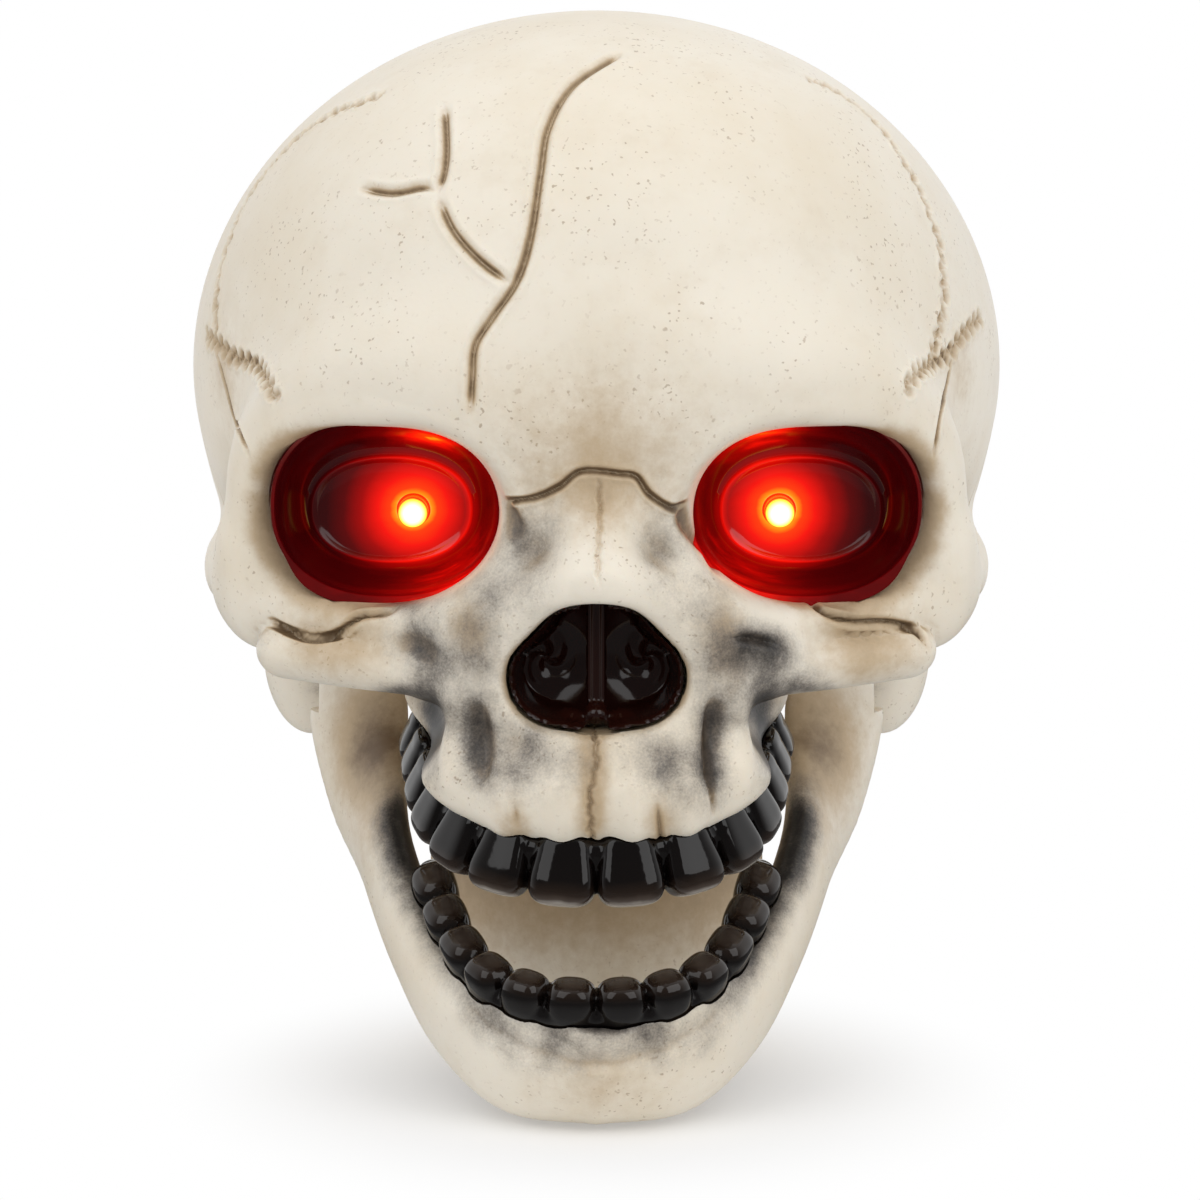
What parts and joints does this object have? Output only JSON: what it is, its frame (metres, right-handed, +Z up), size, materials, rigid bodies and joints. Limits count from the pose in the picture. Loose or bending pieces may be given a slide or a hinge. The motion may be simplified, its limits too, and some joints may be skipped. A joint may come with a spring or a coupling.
{
  "type": "halloween skull decoration",
  "caption": "Life-like bone-coloured plastic skull on a neck stand, with lit red eye cups, black tooth strips and a motor-driven hinged jaw.",
  "frame": {"origin": "on the floor, under the middle of the whole object's width and length", "axes": "+Z up; the face looks along -Y; +X is to the right of someone facing the skull"},
  "size_m": [0.1378, 0.1597, 0.1792],
  "materials": {
    "bone": "satin moulded plastic with airbrushed stains",
    "smoke": "gloss, very dark translucent",
    "eye_red": "gloss, translucent red",
    "led": "clear epoxy, lit",
    "black_plastic": "matte",
    "steel": "plain",
    "nylon": "satin",
    "brass": "machined",
    "motor_case": "plated can",
    "board": "solder mask",
    "cell_wrap": "printed sleeve, plain",
    "spring_steel": "nickel plated"
  },
  "bodies": {
    "skull": {"front_shell": "bone", "rear_shell": "bone", "neck_stand": "bone", "base_plate": "bone", "upper_teeth": "smoke", "nose_insert": "smoke", "right_eye_cup": "eye_red", "left_eye_cup": "eye_red", "right_eye_led": "led", "left_eye_led": "led", "right_led_holder": "black_plastic", "left_led_holder": "black_plastic", "lay_pin": "steel", "motor": "motor_case", "gear_frame": "black_plastic", "battery_tray": "black_plastic", "lower_contact_plate": "spring_steel", "switch_body": "black_plastic", "circuit_board": "board", "speaker": "black_plastic", "battery_cell_1": "cell_wrap", "upper_contact_1": "spring_steel", "battery_cell_2": "cell_wrap", "upper_contact_2": "spring_steel", "battery_cell_3": "cell_wrap", "upper_contact_3": "spring_steel", "shell_screw_1": "steel", "shell_screw_2": "steel", "shell_screw_3": "steel", "shell_screw_4": "steel", "frame_screw_1": "steel", "base_screw_1": "steel", "frame_screw_2": "steel", "base_screw_2": "steel"},
    "jaw": {"jaw": "bone", "lower_teeth": "smoke", "jaw_axle": "steel", "right_axle_screw": "steel", "left_axle_screw": "steel", "sector_gear": "nylon"},
    "lay_gear": {"lay_gear": "nylon"},
    "motor_pinion": {"motor_pinion": "brass", "motor_shaft": "steel"},
    "switch_knob": {"switch_knob": "black_plastic"}
  },
  "joints": [
    {"name": "jaw_swing", "type": "hinge", "parent": "skull", "child": "jaw", "pos_m": [0, -0.002, 0.078], "axis": [-1, 0, 0], "range_deg": [0, 9.5]},
    {"name": "lay_spin", "type": "hinge", "parent": "skull", "child": "lay_gear", "pos_m": [0, -0.002, 0.108], "axis": [-1, 0, 0], "range_deg": [-39, 1]},
    {"name": "motor_spin", "type": "hinge", "parent": "skull", "child": "motor_pinion", "pos_m": [0, 0.015, 0.108], "axis": [-1, 0, 0], "range_deg": [-2, 93]},
    {"name": "switch_slide", "type": "slide", "parent": "skull", "child": "switch_knob", "axis": [1, 0, 0], "range_m": [0, 0.004]}
  ],
  "couplings": [
    {"joint": "lay_spin", "follows": "jaw_swing", "ratio": -4},
    {"joint": "motor_spin", "follows": "jaw_swing", "ratio": 9.6}
  ]
}
